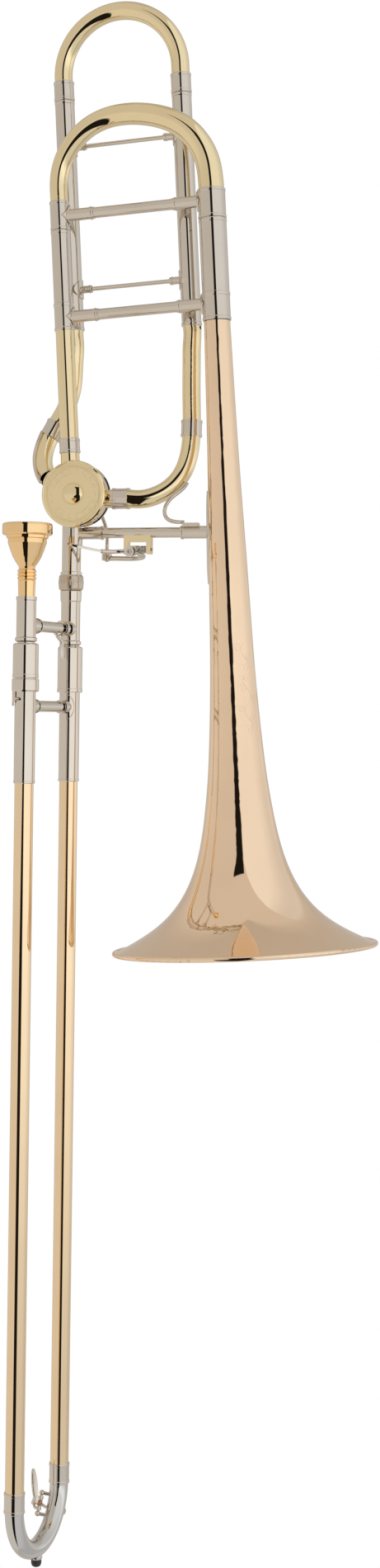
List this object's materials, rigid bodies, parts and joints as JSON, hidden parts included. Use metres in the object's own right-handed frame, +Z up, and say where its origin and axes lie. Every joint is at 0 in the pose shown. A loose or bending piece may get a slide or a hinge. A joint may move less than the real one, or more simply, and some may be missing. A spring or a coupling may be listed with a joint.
{
  "type": "trombone",
  "caption": "Tenor trombone with a rotary valve attachment, rose-brass bell, nickel-silver sleeves and a gold mouthpiece, shown upright with the hand slide closed.",
  "frame": {"origin": "on the neckpipe axis at the joint between the bell section and the slide section, where the left hand holds the instrument", "axes": "+Z up along the slide legs, towards the tuning slides; +X from the neckpipe to the bell; -Y towards the mouthpiece leg"},
  "size_m": [0.3002, 0.2174, 1.2942],
  "materials": {
    "yellow_brass": "polished, clear lacquer",
    "rose_brass": "polished, clear lacquer",
    "gold_brass": "polished, clear lacquer",
    "gold_plate": "polished gold plate",
    "nickel_silver": "polished nickel silver",
    "bright_nickel": "bright nickel",
    "satin_nickel": "satin",
    "steel": "satin",
    "copper_wire": "drawn wire",
    "cork": "matte",
    "black_rubber": "matte"
  },
  "bodies": {
    "inner_slide": {"mouthpiece_receiver": "nickel_silver", "inner_tube_mouth_side": "bright_nickel", "inner_tube_bell_side": "bright_nickel", "cork_barrel_mouth_side": "nickel_silver", "cork_barrel_bell_side": "nickel_silver", "slide_receiver": "nickel_silver", "inner_slide_brace": "nickel_silver", "finger_rest": "nickel_silver"},
    "mouthpiece": {"mouthpiece": "gold_plate"},
    "slide_lock": {"slide_lock_ring": "nickel_silver"},
    "hand_slide": {"outer_tube_mouth_side": "gold_brass", "outer_tube_bell_side": "gold_brass", "outer_sleeve_mouth_side": "nickel_silver", "outer_sleeve_bell_side": "nickel_silver", "hand_brace": "nickel_silver", "crook_ferrules": "nickel_silver", "slide_crook": "bright_nickel", "catch_pin": "nickel_silver", "rubber_tip": "black_rubber", "water_key_saddle": "nickel_silver", "water_key_pin": "steel", "water_key_spring": "copper_wire"},
    "water_key": {"water_key_lever": "nickel_silver", "water_key_pad": "cork"},
    "bell_section": {"neckpipe": "nickel_silver", "valve_casing": "nickel_silver", "valve_ports": "yellow_brass", "valve_cap": "yellow_brass", "bearing_plate": "nickel_silver", "stop_bumpers": "cork", "lever_bracket": "yellow_brass", "lever_pin": "steel", "lever_spring": "steel", "main_brace": "nickel_silver", "bell_flange": "nickel_silver", "wire_braces": "nickel_silver", "bell": "rose_brass", "tuning_sleeves": "nickel_silver", "tuning_brace_fixed": "nickel_silver", "valve_leg": "yellow_brass", "valve_leg_ferrule": "nickel_silver", "attachment_sleeves": "nickel_silver", "attachment_braces": "nickel_silver", "attachment_left_loop": "yellow_brass", "attachment_right_elbow": "yellow_brass", "attachment_ferrules": "nickel_silver"},
    "lock_nut": {"lock_nut": "satin_nickel"},
    "rotor": {"rotor": "nickel_silver", "stop_arm": "nickel_silver"},
    "thumb_lever": {"lever_arm": "nickel_silver", "thumb_paddle": "nickel_silver", "clamp_screw": "steel"},
    "link": {"link_rod": "nickel_silver"},
    "tuning_slide": {"tuning_crook": "yellow_brass", "tuning_inner_legs": "nickel_silver", "tuning_moving_ferrules": "nickel_silver", "tuning_brace_moving": "nickel_silver"},
    "attachment_slide": {"attachment_crook": "yellow_brass", "attachment_inner_legs": "nickel_silver", "attachment_moving_ferrules": "nickel_silver"}
  },
  "joints": [
    {"name": "hand_slide", "type": "slide", "parent": "inner_slide", "child": "hand_slide", "axis": [0, 0, -1], "range_m": [0, 0.6]},
    {"name": "bell_swivel", "type": "hinge", "parent": "inner_slide", "child": "bell_section", "pos_m": [0, 0, 0], "axis": [0, 0, 1], "range_deg": [-25, 25]},
    {"name": "mouthpiece_pull", "type": "slide", "parent": "inner_slide", "child": "mouthpiece", "axis": [0, 0, 1], "range_m": [0, 0.03]},
    {"name": "slide_lock_turn", "type": "hinge", "parent": "inner_slide", "child": "slide_lock", "pos_m": [-0.00804, -0.08663, -0.08], "axis": [0, 0, 1], "range_deg": [-40, 0]},
    {"name": "lock_nut_turn", "type": "hinge", "parent": "bell_section", "child": "lock_nut", "pos_m": [0, 0, 0.0065], "axis": [0, 0, 1], "range_deg": [0, 300]},
    {"name": "tuning_slide_pull", "type": "slide", "parent": "bell_section", "child": "tuning_slide", "axis": [-0.0593, 0, 0.9982], "range_m": [0, 0.055]},
    {"name": "attachment_slide_pull", "type": "slide", "parent": "bell_section", "child": "attachment_slide", "axis": [-0.0593, 0, 0.9982], "range_m": [0, 0.08]},
    {"name": "thumb_lever_press", "type": "hinge", "parent": "bell_section", "child": "thumb_lever", "pos_m": [0.055, 0, 0.034], "axis": [1, 0, 0], "range_deg": [0, 32.7], "stiffness_Nm_per_rad": 0.15, "springref_deg": -28.65},
    {"name": "rotor_turn", "type": "hinge", "parent": "bell_section", "child": "rotor", "pos_m": [0.0054, 0, 0.0796], "axis": [0, -1, 0], "range_deg": [0, 50.2]},
    {"name": "link_tilt", "type": "hinge", "parent": "thumb_lever", "child": "link", "pos_m": [0.0245, 0.02015, 0.02809], "axis": [1, 0, 0], "range_deg": [-32.8, 0]},
    {"name": "water_key_press", "type": "hinge", "parent": "hand_slide", "child": "water_key", "pos_m": [-0.01305, -0.01073, -0.75675], "axis": [0.0462, 0.4979, 0.866], "range_deg": [0, 18], "stiffness_Nm_per_rad": 0.05, "springref_deg": -22.92}
  ],
  "couplings": [
    {"joint": "rotor_turn", "follows": "thumb_lever_press", "ratio": 1.529},
    {"joint": "link_tilt", "follows": "thumb_lever_press", "ratio": -1}
  ]
}
